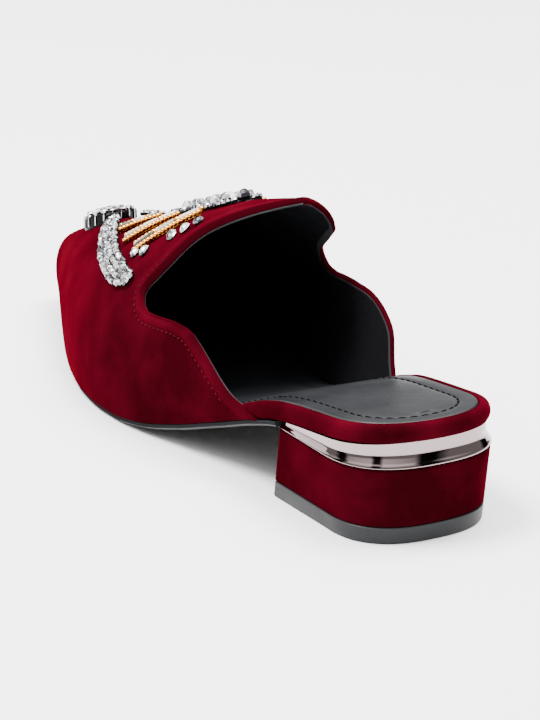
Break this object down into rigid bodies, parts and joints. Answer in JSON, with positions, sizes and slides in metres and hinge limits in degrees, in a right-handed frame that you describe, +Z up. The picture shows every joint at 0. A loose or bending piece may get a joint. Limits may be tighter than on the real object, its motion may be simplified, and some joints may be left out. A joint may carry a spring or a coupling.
{
  "type": "mule",
  "caption": "Pointed backless mule for the left foot in dark red velvet, with a jewelled vamp, a black sock, a low block heel and a polished metal heel collar.",
  "frame": {"origin": "on the floor under the middle of the heel, on the flat underside of the top piece", "axes": "+X runs along the shoe to the toe, +Y to the outer side of the left foot, +Z up"},
  "size_m": [0.2579, 0.0789, 0.0765],
  "materials": {
    "velvet": "cut pile velvet, soft sheen at the edges",
    "sole_resin": "thin dark resin sole, satin",
    "sock_leather": "smooth black leather, low sheen",
    "polished_metal": "mirror polished",
    "rubber": "matt moulded rubber",
    "crystal": "foil backed cut stones in silver settings",
    "gold": "polished gold beading",
    "jet": "black enamel with silver claws"
  },
  "bodies": {
    "root": {"upper": "velvet", "outsole": "sole_resin", "insole_board": "velvet", "sock": "sock_leather", "heel_block": "velvet", "heel_collar": "polished_metal", "top_piece": "rubber", "crescent_outer": "crystal", "crescent_inner": "crystal", "strip_outer_1": "gold", "strip_outer_2": "gold", "strip_outer_3": "gold", "strip_inner_1": "gold", "strip_inner_2": "gold", "strip_inner_3": "gold", "ridge_cluster": "crystal", "toe_button": "jet"}
  },
  "joints": []
}
